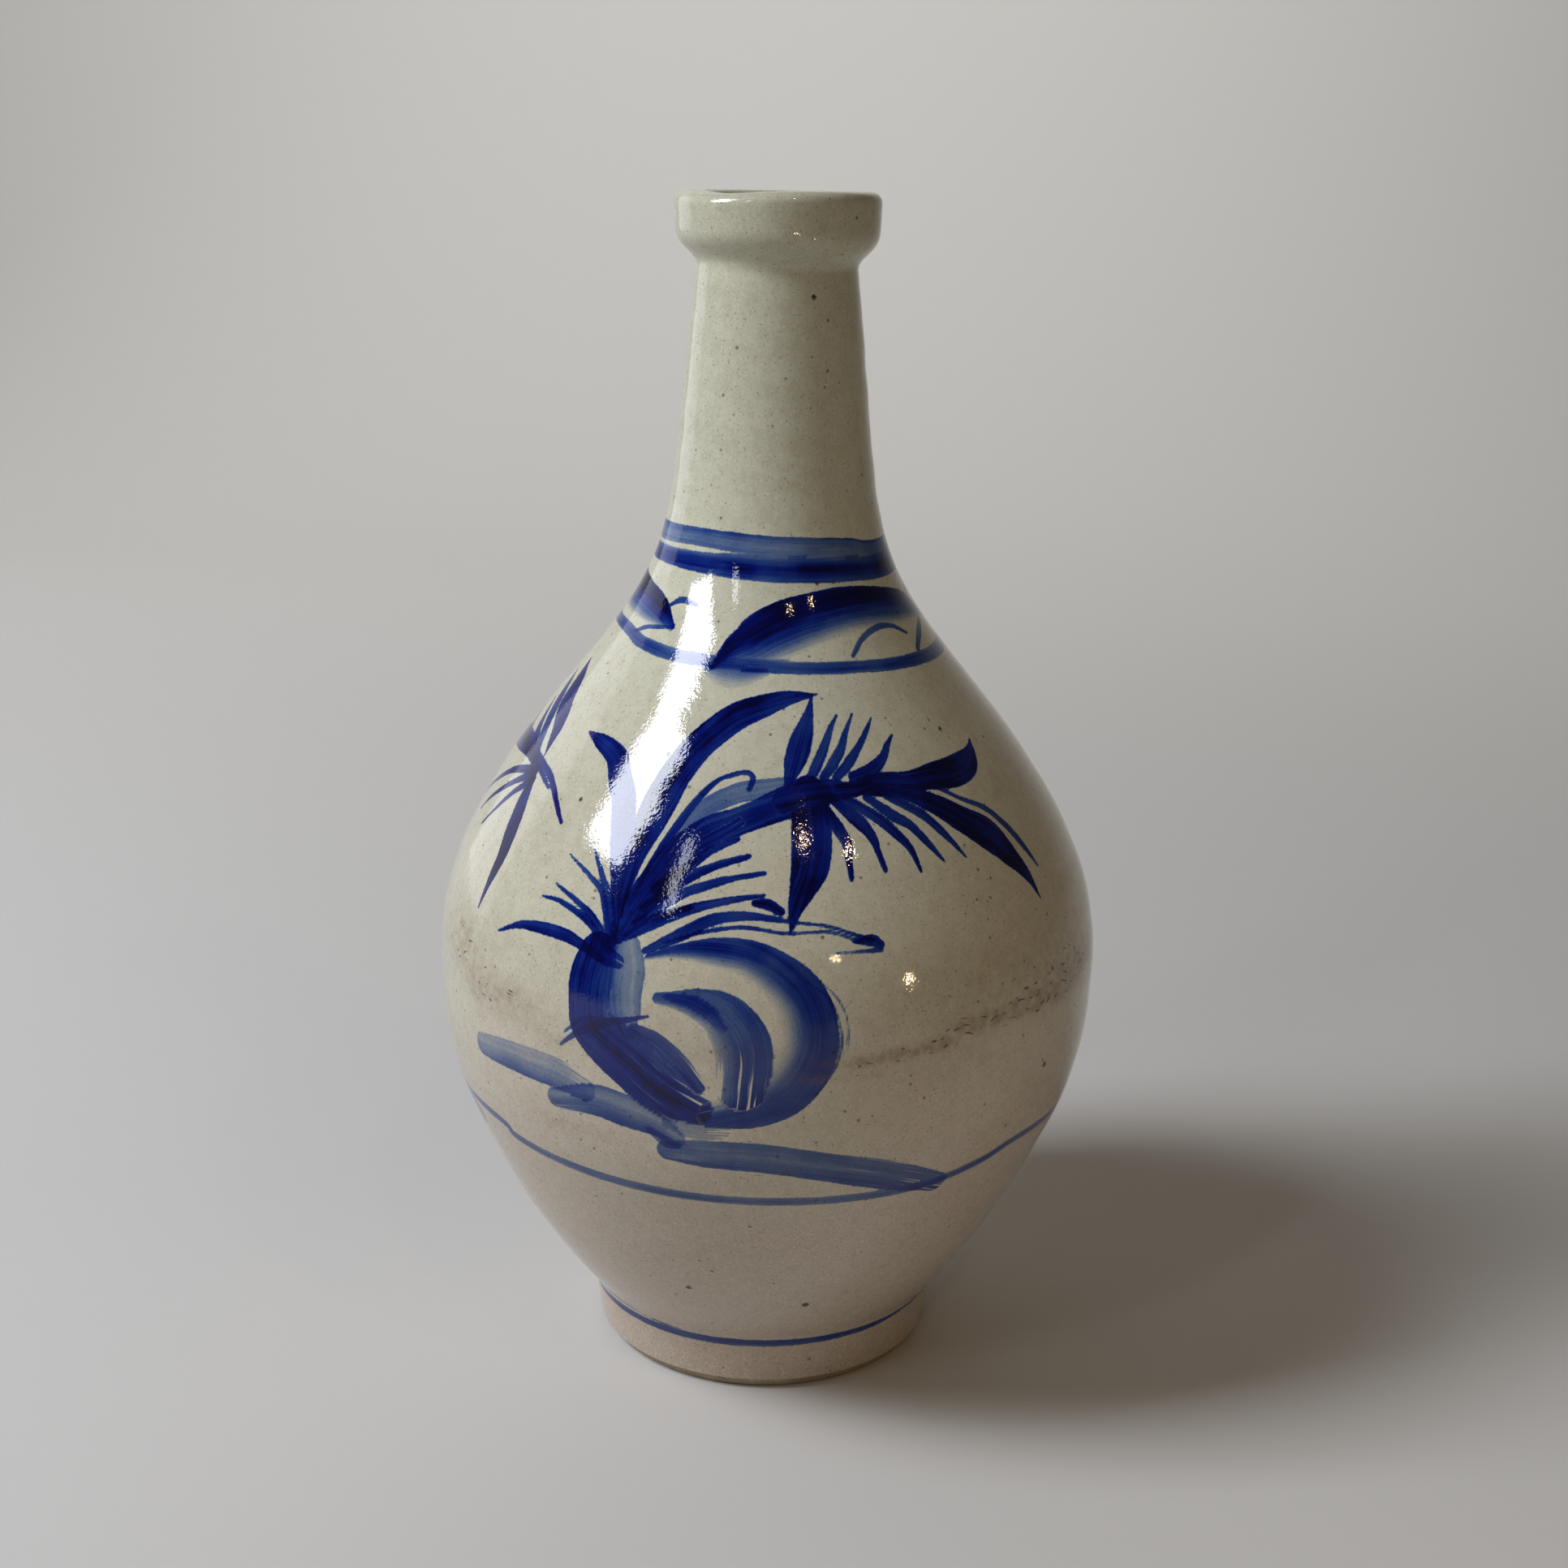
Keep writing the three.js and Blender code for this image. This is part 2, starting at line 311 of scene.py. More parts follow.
LEFT_LEAVES = [
    line([(-69, 115, 0.5), (-62, 118, 1.7), (-55, 119, 2.6), (-48, 119, 2.7), (-43, 118, 2.3),
          (-37, 116, 1.8)],
         0.8),
    line([(-57, 125, 0.5), (-51, 125, 1.1), (-43, 123, 1.6), (-38, 120, 1.8), (-36, 118, 1.5)], 0.75),
    line([(-54, 128, 0.6), (-47, 126, 1.2), (-42, 124, 1.7), (-38, 121, 1.9), (-35, 118, 1.5)], 0.75),
    line([(-53, 134, 0.5), (-45, 131, 1.1), (-40, 128, 1.5), (-36, 121, 1.9)], 0.72),
    line([(-46, 136, 0.5), (-42, 132, 1.3), (-38, 127, 2.2), (-35, 120, 2.6)], 0.75),
]
STEM = [
    wash([(-28, 134, 1.5), (-23, 141, 3), (-18, 146, 4), (-10, 149, 4.5), (-3, 150, 4.6), (6, 151, 3.5)],
         (0.4, 0.34, 0.42), (0.0, 0.0)),
    line([(-34, 121, 3.5), (-31, 127, 6.5), (-26, 133, 8.2), (-22, 138, 7.4), (-16, 142, 6.8),
          (-9, 144, 6.2), (-2, 146, 6.4), (6, 148, 7.5), (14, 149, 6)],
         0.8, (0.12, 0.0)),
    line([(-33, 122, 1.6), (-28, 130, 2.4), (-20, 138, 2.6), (-8, 144, 2.4)], 0.5, (0.1, 0.3)),
]
FRONT_TOP = [
    # the big leaf up to the right, the one up to the left, and the curl
    line([(-35, 122, 1.5), (-34, 134, 3.4), (-32, 144, 7.6), (-29, 151, 7.4), (-25, 156, 7.0),
          (-19, 160, 6.8), (-12, 163, 6.5), (-3, 165, 5.3), (7, 166.5, 3.4), (18, 167, 0.4)],
         0.95),
    line([(-68, 156, 0.5), (-60, 155, 3.5), (-51, 153, 5.2), (-46, 149, 5.8), (-42, 145, 5.8),
          (-39, 138, 5.2), (-37, 130, 2.6), (-35, 123, 1.2)],
         0.88),
    line([(-32, 129, 0.9), (-29, 136, 1.4), (-25, 142, 1.9), (-21, 147, 1.7), (-16, 151, 1.2),
          (-11, 152.5, 1.1), (-7, 153, 1.1), (-5, 152, 1.1), (-6, 150, 1.2)],
         0.82),
    # up from the knot
    line([(5, 150.5, 1.4), (7, 154, 3.9), (9, 157, 5.0), (11, 160, 4.2), (14, 164, 1.9), (16, 167, 0.3)],
         0.85),
    line([(11, 151, 1.5), (14, 154, 2.4), (18, 158, 1.9), (21, 161, 1.2), (24, 163, 0.4)], 0.78),
    line([(16, 152, 1.9), (19, 154, 2.3), (23, 157, 2.0), (26, 160, 1.1), (30, 163, 0.4)], 0.78),
    line([(20, 152, 1.9), (24, 154, 2.3), (29, 157, 1.7), (34, 160, 1.1), (37, 162, 0.4)], 0.78),
    line([(25, 152, 2.0), (32, 153, 2.8), (37, 155, 2.0), (40, 157, 1.3), (43, 158.5, 0.4)], 0.8),
    # to the right
    line([(20, 150, 1.2), (32, 151, 2.9), (43, 150, 4.4), (53, 150, 6.2), (62, 150, 7.2), (70, 151, 6.0),
          (75, 153, 2.4), (77, 154.5, 0.4)],
         0.95),
    line([(20, 150, 2.0), (31, 149, 2.6), (40, 148, 3.2), (49, 145, 4.9), (57, 141, 6.6), (64, 137, 7.9),
          (69, 132, 5.5), (73, 127, 2.8), (75, 122, 0.3)],
         0.95),
    line([(40, 149, 0.7), (51, 148, 0.9), (59, 145, 1.1), (67, 142, 1.5), (72, 138, 1.8), (76, 133, 1.8),
          (79, 128, 0.5)],
         0.6),
    # down from the knot
    line([(15, 147, 2.0), (18, 143, 2.7), (20, 140, 2.3), (20, 137, 1.5), (20, 133.5, 1.1)], 0.85),
    line([(18, 148, 2.0), (24, 144, 3.1), (27, 141, 2.2), (28, 138, 1.4), (29, 134.5, 1.1)], 0.85),
    line([(22, 148, 2.0), (30, 144, 2.5), (34, 141, 2.3), (37, 138, 1.7), (38.5, 133.5, 0.7)], 0.82),
    line([(28, 148, 1.8), (35, 144, 2.5), (39, 142, 2.1), (43, 138, 1.6), (46, 134.5, 0.7)], 0.82),
    line([(34, 148, 1.8), (43, 144, 2.1), (47, 141, 2.0), (50, 138, 1.5), (53, 134.5, 0.6)], 0.8),
    line([(11, 150, 6.5), (11, 145, 7.9), (11, 141, 8.5), (10, 136, 7.9), (8, 132, 5.6), (6, 128, 2.8),
          (5, 124, 0.4)],
         0.96),
    line([(4, 148, 5), (10, 149, 6.5), (17, 149.5, 5.5), (24, 149.5, 3.5), (30, 150, 2)], 0.9),
    # to the right from the crown
    line([(-27, 131, 2.0), (-19, 136, 2.2), (-14, 139, 1.8), (-8, 141, 1.1)], 0.82),
    line([(-29, 127, 2.0), (-20, 133, 2.3), (-13, 136, 1.8), (-5, 138, 1.2)], 0.8),
    line([(-30, 124, 2.0), (-21, 130, 2.2), (-14, 132.5, 2.0), (-8, 134, 1.4), (-1, 135, 0.9)], 0.78),
    line([(-31, 121.5, 1.8), (-21, 126.5, 2.2), (-15, 128.5, 2.0), (-8, 130, 1.4), (-1, 131, 0.8)], 0.78),
    line([(-32, 121, 1.6), (-26, 125, 2.4), (-18, 128, 1.4)], 0.7),
    line([(-27, 119, 1.4), (-19, 123, 2.8), (-13, 126, 2.5), (-7, 127, 2.1), (-2, 127, 1.6),
          (6, 126, 0.8), (14, 125, 0.6), (23, 122, 1.0)],
         0.8),
    line([(-23, 121, 0.6), (-13, 124, 0.8), (-5, 125, 0.8), (4, 124, 0.7), (14, 124, 0.7),
          (21, 121.5, 0.8)],
         0.62),
    line([(19, 122, 0.9), (23, 122, 2.4), (25, 121, 1.8)], 0.72),
    line([(25, 120, 1.2), (21, 120, 0.9), (15, 120, 0.4)], 0.62),
    line([(-3, 129.5, 1.6), (0, 129.3, 2.3), (3, 128, 1.8)], 0.9),
]
# the knot of the second plant, whose leaves reach round the left side
SIDE_TOP = [
    leaf([(-84, 149), (-88, 155), (-95, 159), (-100, 163), (-106, 167)], 5.6),
    leaf([(-87, 147), (-95, 152), (-101, 156), (-107, 160), (-114, 164)], 3.4, 0.88),
    leaf([(-90, 148), (-98, 150), (-105, 153), (-112, 158)], 2.4, 0.85),
    hair([(-94, 148), (-110, 149), (-122, 154)], 3, 0.85),
    line([(-112, 147, 1.2), (-98, 149.5, 1.8), (-86, 148, 1.8), (-76, 146.5, 1.6), (-69, 144, 1.5),
          (-60, 139, 0.9)],
         0.78),
    line([(-98, 147, 1.0), (-88, 147, 1.3), (-80, 146, 1.2), (-72, 144, 0.7)], 0.75),
    line([(-83, 145, 2.0), (-81, 140, 4.2), (-79, 134, 5.0), (-78, 128, 3.6), (-79, 122, 1.8),
          (-80, 117, 0.5)],
         0.92),
    hair([(-84, 146), (-99, 143), (-111, 138), (-120, 133)], 2.4),
    hair([(-84, 145), (-94, 141), (-104, 136), (-109, 132)], 2.2),
    hair([(-82, 144), (-89, 140), (-95, 135), (-99, 131)], 2.2),
    line([(-165, 121, 3), (-158, 134, 5.5), (-145, 143, 6.5), (-125, 147, 6.5), (-100, 148.5, 5),
          (-88, 147.5, 3)],
         0.88, (0.1, 0.0)),
    leaf([(-166, 121), (-162, 136), (-154, 149), (-141, 157), (-124, 161)], 7.5),
    hair([(-160, 127), (-150, 134), (-140, 137), (-128, 138)], 2.3),
    hair([(-162, 124), (-152, 129), (-140, 132), (-126, 132)], 2.2),
    hair([(-162, 121), (-150, 125), (-138, 127), (-124, 126)], 2.2),
    leaf([(-166, 120), (-171, 131), (-178, 141), (-187, 149), (-197, 153)], 5.0, 0.88),
]
SHOULDER_LEAF = [
    wash([(-26, 171.5, 1.5), (-17, 174.5, 8.0), (-9, 176, 12), (2, 178.5, 13), (21, 181, 12),
          (45, 182.5, 10.5), (73, 182, 9), (98, 180.5, 7), (114, 178, 2)],
         (0.95, 1.0, 0.97, 0.86, 0.6, 0.25, 0.0), (0.0, 0.1)),
    line([(-26, 171.5, 1.0), (-17, 177, 3.2), (-8, 180, 4.4), (4, 182.6, 5.0), (24, 184.3, 4.6),
          (56, 185, 3.6), (88, 183.5, 2.4)],
         0.75, (0.0, 0.1)),
]
SHOULDER_ARCS = [
    line([(38, 173.5, 1.0), (46, 176.5, 1.3), (58, 178.3, 1.4), (70, 178, 1.3), (79, 176, 0.8)], 0.55),
    line([(80, 172.5, 1.1), (90, 175, 1.8), (104, 177.5, 1.2)], 0.6),
    line([(-80, 175.5, 0.9), (-71, 177, 1.2), (-54, 178, 0.8)], 0.55),
    line([(-63, 182, 0.9), (-55, 183.5, 1.6), (-44, 183, 0.8)], 0.65),
    line([(108, 183, 0.9), (116, 184, 1.5), (126, 183, 0.8)], 0.65),
]
RINGS = [
    wash([(-245, 196.4, 4.2), (-109, 196.4, 4.2), (-53, 196.8, 4.0), (-7, 196, 4.4), (51, 195, 4.4),
          (94, 193.6, 4.2), (245, 195.4, 4.2)],
         (0.6, 0.46, 0.36, 0.4, 0.34), (0.0, 0.0)),
    wash([(-245, 191.6, 5.2), (-109, 191.8, 3.8), (-51, 191.6, 4.6), (-7, 191.2, 5.6), (51, 190.6, 5.6),
          (94, 190, 5.0), (245, 191.6, 5.2)],
         (0.4, 0.8, 0.92, 0.82, 0.5), (0.0, 0.0)),
    wash([(-245, 174, 2.6), (-110, 176, 2.4), (-69, 174, 3.0), (-47, 173, 3.2), (-22, 172.6, 3.0),
          (32, 171.6, 3.0), (108, 171, 3.2), (245, 174, 2.6)],
         (0.4, 0.62, 0.66, 0.45), (0.0, 0.0)),
    wash([(-27, 171, 3.0), (-20, 170.2, 5.4), (-12, 170.2, 4.8), (-3, 171, 2.2)],
         (0.6, 0.36, 0.16, 0.03), (0.0, 0.1)),
    wash([(-245, 68, 2.2), (-88, 70, 2.3), (-65, 67, 2.4), (-34, 65, 2.5), (-4, 64, 2.5), (34, 64, 2.5),
          (55, 66, 2.4), (70, 68, 2.3), (110, 67, 2.2), (245, 68, 2.2)],
         (0.26, 0.42, 0.42, 0.24), (0.0, 0.0)),
    wash([(-245, 12.8, 1.6), (-89, 12.8, 1.9), (-3, 13.2, 2.1), (50, 13.4, 1.7), (91, 13.8, 1.1),
          (245, 13, 1.6)],
         (0.5, 0.66, 0.42), (0.0, 0.2)),
    line([(-86, 15.2, 0.5), (-66, 15.0, 0.9), (-44, 14.4, 0.9), (-26, 13.6, 0.5)], 0.45, (0.2, 0.3)),
]


def moved(strokes, across, up=0):
    """The same strokes repeated further round the bottle."""
    return [{**s, "places": [(x + across, z + up, wide) for x, z, wide in s["places"]]} for s in strokes]


brushwork = (
    GROUND + TURNIP + STEM + LEFT_LEAVES + FRONT_TOP
    + moved(GROUND, -130, 1) + moved(TURNIP, -130) + moved(LEFT_LEAVES, -130) + SIDE_TOP
    + SHOULDER_LEAF + moved(SHOULDER_LEAF, -169) + moved(SHOULDER_LEAF, 160) + SHOULDER_ARCS + RINGS
)


def off_across(across, place):
    """How far round from a place, the shorter way."""
    round_way = GIRTH * 2 * np.pi
    return (across - place + round_way / 2) % round_way - round_way / 2


def lay(stroke, number, paint, points, normals, places):
    """Lays one stroke: each point near it takes its distance inside the edge, its load and its bristles."""
    run, line = eased(stroke["places"])
    t = run / run[-1]
    half = np.maximum(line[:, 2], 0.5) / 2
    reach = half.max() + 2.5
    girth = np.interp(line[:, 1], body_line[:, 1], body_line[:, 0])
    spread = reach * GIRTH / girth.min()
    middle = (line[:, 0].min() + line[:, 0].max()) / 2
    near = (
        (np.abs(off_across(places[:, 0], middle)) < (np.ptp(line[:, 0]) / 2 + spread))
        & (places[:, 1] > line[:, 1].min() - reach)
        & (places[:, 1] < line[:, 1].max() + reach)
    )
    index = np.nonzero(near)[0]
    path = surface(line[:, 0], line[:, 1])
    way = np.gradient(path, axis=0)
    way /= np.linalg.norm(way, axis=1)[:, None]
    for part in np.array_split(index, len(index) * len(path) // 3_000_000 + 1):
        gap = points[part][:, None, :] - path[None]
        closest = np.argmin((gap**2).sum(2), axis=1)
        offset = points[part] - path[closest]
        along = (offset * way[closest]).sum(1)
        side = (offset * np.cross(normals[part], way[closest])).sum(1)
        past_end = (closest == 0) & (along < 0) | (closest == len(path) - 1) & (along > 0)
        overrun = np.where(past_end, along, 0)
        inside_edge = half[closest] - np.hypot(side, overrun)
        share = side / np.maximum(half[closest], 0.2)
        load = np.interp(-share, np.linspace(-1, 1, len(stroke["load"])), stroke["load"])
        dry = np.interp(t[closest], [0, 0.2, 0.55, 1], [stroke["dry"][0], 0, 0, stroke["dry"][1]])
        mark(paint[stroke["coat"]], part, inside_edge, load, dry, side, run[closest] + along, number)


def mark(coat, part, edge, load, dry, side, along, number):
    """Adds the stroke to its coat where it covers, and just past its edge so that the edge stays clean.

    Where strokes of one coat cross, the cobalt builds up. The number sets each stroke's own bristles.
    """
    before = coat["edge"][part]
    covers = edge > 0
    newer = (edge > -2.2) & ((edge > before) | covers)
    crossing = covers & (before > 0)
    old = coat["load"][part]
    mixed = np.where(crossing, 1 - (1 - old) * (1 - load), load)
    coat["load"][part] = np.where(newer, mixed, old)
    left = {"dry": dry, "side": side + number * 7.3, "along": along, "seed": number * 3.7}
    for kind, value in left.items():
        coat[kind][part] = np.where(newer, value, coat[kind][part])
    coat["edge"][part] = np.maximum(before, edge)


def decorate(piece, points, first, count):
    """Stores on the painted points how far inside a stroke they lie and what the brush left there."""
    painted = points[first : first + count]
    radius = np.hypot(painted[:, 0], painted[:, 1])
    across = np.arctan2(painted[:, 0], -painted[:, 1]) * GIRTH
    flare = np.gradient(body_line[:, 0]) / np.gradient(body_line[:, 1])
    slope = np.interp(painted[:, 2], body_line[:, 1], flare)
    normals = np.stack([painted[:, 0] / radius, painted[:, 1] / radius, -slope], 1)
    normals /= np.linalg.norm(normals, axis=1)[:, None]
    on_outline = surface(across, painted[:, 2])
    kinds = ("load", "dry", "side", "along", "seed")
    paint = {name: {kind: np.zeros(count) for kind in kinds} for name in ("wash", "line")}
    for coat in paint.values():
        coat["edge"] = np.full(count, NO_STROKE)
    for number, stroke in enumerate(brushwork, 1):
        lay(stroke, number, paint, on_outline, normals, np.stack([across, painted[:, 2]], 1))
    for name, coat in paint.items():
        for label, stored, unpainted in (
            (name, ("edge", "load", "dry"), NO_STROKE),
            (name + "_bristles", ("side", "along", "seed"), 0.0),
        ):
            values = np.zeros((len(points), 3))
            values[:, 0] = unpainted
            values[first : first + count] = np.stack([coat[kind] for kind in stored], 1)
            store = piece.data.attributes.new(label, "FLOAT_VECTOR", "POINT")
            store.data.foreach_set("vector", values.ravel())


# ---------------------------------------------------------------------------
# Age: places where dirt has settled, brown painted shade on the right belly, and iron that burned through
# the glaze
# ---------------------------------------------------------------------------
# The narrow patches along the belly lie on a line of dirt. The broad, tall patches above it on the right
# belly are painted shade, a brown shadow laid into the glaze's colour.
GRIME_AND_SHADE = [
    # across, up, how far it spreads across and up, strength
    (10, 94, 8, 1.2, 0.5), (22, 97.5, 9, 1.5, 0.8), (36, 98.5, 9, 1.5, 0.9), (48, 101.5, 9, 1.8, 1.0),
    (60, 102, 9, 2.0, 0.9), (74, 101, 11, 2.5, 0.9), (88, 104, 12, 4.0, 0.8), (120, 102, 30, 6.0, 0.5),
    (52, 108, 26, 8.0, 0.42), (80, 110, 20, 10.0, 0.4), (40, 94, 22, 5.0, 0.2),
    (-58, 103, 10, 4.0, 0.5), (-72, 101, 10, 5.0, 0.6), (-86, 109, 14, 7.0, 0.75), (-46, 96, 8, 3.0, 0.4),
    (-10, 99, 9, 4.0, 0.3), (-45, 77, 12, 3.0, 0.4), (-22, 105, 6, 4.0, 0.35), (-62, 140, 8, 8.0, 0.2),
    (170, 100, 30, 6.0, 0.6), (205, 92, 26, 6.0, 0.5),
]
IRON = [
    # across, up, diameter
    (34, 248, 1.6), (-57, 144, 1.2), (-33, 155, 1.3), (14, 29, 2.0), (-23, 34, 1.8), (12, 123, 1.0),
    (72, 85, 1.6), (74, 107, 1.3), (65, 158, 1.3), (62, 160, 0.9), (67, 156, 0.8), (27, 188, 1.0),
    (140, 140, 1.4), (170, 60, 1.6), (-170, 80, 1.2), (-200, 150, 1.4), (205, 115, 1.1), (118, 205, 1.0),
]


def weather_and_painted_shade(piece, points):
    """Stores on each point how much grime and painted shade it holds, and how far inside an iron spot it
    lies.
    """
    across, up = np.arctan2(points[:, 0], -points[:, 1]) * GIRTH, points[:, 2]
    grime_and_shade, iron = np.zeros(len(points)), np.full(len(points), NO_STROKE)
    for x, z, wide, tall, strength in GRIME_AND_SHADE:
        off = off_across(across, x)
        grime_and_shade += strength * np.exp(-((off / wide) ** 2) - ((up - z) / tall) ** 2)
    for x, z, size in IRON:
        iron = np.maximum(iron, size / 2 - np.linalg.norm(points - surface(x, z), axis=1))
    for label, values in (("grime_and_shade", np.clip(grime_and_shade, 0, 1)), ("iron", iron)):
        store = piece.data.attributes.new(label, "FLOAT", "POINT")
        store.data.foreach_set("value", values)


# ---------------------------------------------------------------------------
# Materials
# ---------------------------------------------------------------------------
PER_MM = 1 / MM  # a pattern's scale is given as how many of its cells there are to a millimetre
EASED = {"interpolation_type": "SMOOTHSTEP"}
# colour of the glaze from foot to rim; its pinker low end is a painted reflection of the pale floor
GLAZE_RAMP = ((0.0, "#BAA896"), (0.22, "#BFB1A0"), (0.42, "#C4BFA9"), (0.7, "#C7C6B0"), (1.0, "#BDBCA5"))
COBALT_RAMP = (
    (0.0, "#FFFFFF"), (0.18, "#A2B6E2"), (0.36, "#6684D0"), (0.52, "#3A5CC0"),
    (0.68, "#183AB0"), (0.84, "#041C9A"), (1.0, "#010450"),
)
CLAY_RAMP = ((0.25, "#8B7961"), (0.5, "#A5947A"), (0.8, "#B9AA90"))


def colour(code):
    """An sRGB hex colour as the linear values that the renderer works in."""
    parts = [int(code[i : i + 2], 16) / 255 for i in (1, 3, 5)]
    return tuple(p / 12.92 if p <= 0.04045 else ((p + 0.055) / 1.055) ** 2.4 for p in parts) + (1.0,)


def add(tree, kind, feeds=(), stops=(), **settings):
    """Adds a node with its settings, and the stops of its colour ramp if it has one.

    Feeds go to its inputs, in order or by name: each is a value, an output, or a node's first output.
    """
    made = tree.nodes.new(kind)
    for name, value in settings.items():
        setattr(made, name, value)
    for socket, value in feeds.items() if isinstance(feeds, dict) else enumerate(feeds):
        if isinstance(value, bpy.types.Node):
            value = value.outputs[0]
        if isinstance(value, bpy.types.NodeSocket):
            tree.links.new(value, made.inputs[socket])
        else:
            made.inputs[socket].default_value = value
    for _ in stops[2:]:
        made.color_ramp.elements.new(0.5)
    for number, (place, code) in enumerate(stops):
        made.color_ramp.elements[number].position = place
        made.color_ramp.elements[number].color = colour(code)
    return made


def brush_coat():
    """Node group: how much cobalt one coat of brushwork leaves, with its bristle streaks and dry gaps."""
    tree = bpy.data.node_groups.new("brush_coat", "ShaderNodeTree")
    for name in ("Stroke", "Bristles", "Place"):
        tree.interface.new_socket(name, in_out="INPUT", socket_type="NodeSocketVector")
    tree.interface.new_socket("Cobalt", in_out="OUTPUT", socket_type="NodeSocketFloat")
    given = add(tree, "NodeGroupInput")
    bristles, place = given.outputs["Bristles"], given.outputs["Place"]
    within, load, dryness = add(tree, "ShaderNodeSeparateXYZ", (given.outputs["Stroke"],)).outputs

    # bristles are about 0.5 mm apart and tufts of them 2 mm, and their streaks run for 20 mm or more
    streaks = []
    for to_a_mm, share, detail in (((1.9, 0.05, 1.0), 0.55, 2.0), ((0.5, 0.03, 1.0), 0.45, 1.0)):
        drawn = add(tree, "ShaderNodeVectorMath", (bristles, to_a_mm), operation="MULTIPLY")
        trails = add(tree, "ShaderNodeTexNoise", {"Vector": drawn, "Scale": 1.0, "Detail": detail})
        streaks.append(add(tree, "ShaderNodeMath", (trails, share), operation="MULTIPLY"))
    both = add(tree, "ShaderNodeMath", streaks, operation="ADD")
    streak = add(tree, "ShaderNodeMapRange", (both, 0.32, 0.68, 0.0, 1.0), **EASED)

    # the clay's tooth breaks up the edge over a few tenths of a millimetre
    tooth = add(tree, "ShaderNodeTexNoise", {"Vector": place, "Scale": 1.4 * PER_MM, "Detail": 2.0})
    bitten = add(tree, "ShaderNodeMath", (tooth, 0.4), operation="MULTIPLY")
    waver = add(tree, "ShaderNodeTexNoise", {"Vector": place, "Scale": 0.26 * PER_MM, "Detail": 1.0})
    drifted = add(tree, "ShaderNodeMath", (waver, 0.3), operation="MULTIPLY")
    rough_edge = add(tree, "ShaderNodeMath", (bitten, drifted), operation="ADD")
    roughened = add(tree, "ShaderNodeMath", (within, rough_edge), operation="ADD")
    edge = add(tree, "ShaderNodeMath", (roughened, 0.35), operation="SUBTRACT")
    cover = add(tree, "ShaderNodeMapRange", (edge, -0.16, 0.2, 0.0, 1.0), **EASED)

    # bristles that have run dry leave gaps, and the wet ones pool in soft patches 10 mm apart
    dry_from = add(tree, "ShaderNodeMath", (dryness, 0.2), operation="SUBTRACT")
    dry_to = add(tree, "ShaderNodeMath", (dry_from, 0.22), operation="ADD")
    kept = add(tree, "ShaderNodeMapRange", (streak, dry_from, dry_to, 0.0, 1.0), **EASED)
    pools = add(tree, "ShaderNodeTexNoise", {"Vector": place, "Scale": 0.095 * PER_MM, "Detail": 2.0})
    streaked = add(tree, "ShaderNodeMapRange", (streak, 0.0, 1.0, 0.84, 1.07), **EASED)
    pooled = add(tree, "ShaderNodeMapRange", (pools, 0.3, 0.7, 0.86, 1.12), **EASED)
    wet = add(tree, "ShaderNodeMath", (streaked, pooled), operation="MULTIPLY")
    laid = add(tree, "ShaderNodeMath", (load, wet), operation="MULTIPLY")
    covered = add(tree, "ShaderNodeMath", (cover, kept), operation="MULTIPLY")
    cobalt = add(tree, "ShaderNodeMath", (laid, covered), operation="MULTIPLY", use_clamp=True)
    add(tree, "NodeGroupOutput", {"Cobalt": cobalt})
    return tree


def new_material(name):
    """An empty material and its node tree."""
    material = bpy.data.materials.new(name)
    material.use_nodes = True
    material.node_tree.nodes.clear()
    return material, material.node_tree


def glaze_with_painted_reflection(tree, place):
    """The coat's colour, with a painted reflection laid in: pinker and a little darker lower down, a
    painted reflection of the pale floor, and greener up the neck.

    The ramp runs from 0 at the foot to 1 at the rim.
    """
    height = add(tree, "ShaderNodeSeparateXYZ", (place,)).outputs["Z"]
    share_up = add(tree, "ShaderNodeMath", (height, 3.7), operation="MULTIPLY")
    drift = add(tree, "ShaderNodeTexNoise", {"Vector": place, "Scale": 0.022 * PER_MM, "Detail": 2.0})
    centred = add(tree, "ShaderNodeMath", (drift, 0.5), operation="SUBTRACT")
    uneven = add(tree, "ShaderNodeMath", (centred, 0.35), operation="MULTIPLY")
    level = add(tree, "ShaderNodeMath", (share_up, uneven), operation="ADD", use_clamp=True)
    return add(tree, "ShaderNodeValToRGB", (level,), GLAZE_RAMP)


def iron_specks(tree, place):
    """Share of iron specks in the clay: about one every 4 mm, 0.3 mm across."""
    cells = add(tree, "ShaderNodeTexVoronoi", {"Vector": place, "Scale": 0.36 * PER_MM, "Randomness": 1.0})
    chance = add(tree, "ShaderNodeSeparateColor", (cells.outputs["Color"],))
    size = add(tree, "ShaderNodeMapRange", (chance, 0.55, 1.0, 0.02, 0.12), **EASED)
    soft_edge = add(tree, "ShaderNodeMath", (size, 0.05), operation="ADD")
    speck = add(tree, "ShaderNodeMapRange", (cells.outputs["Distance"], size, soft_edge, 1.0, 0.0))
    there = add(tree, "ShaderNodeMapRange", (chance, 0.55, 0.62, 0.0, 1.0), **EASED)
    seen = add(tree, "ShaderNodeMath", (speck, there), operation="MULTIPLY")
    return add(tree, "ShaderNodeMath", (seen, 0.62), operation="MULTIPLY")


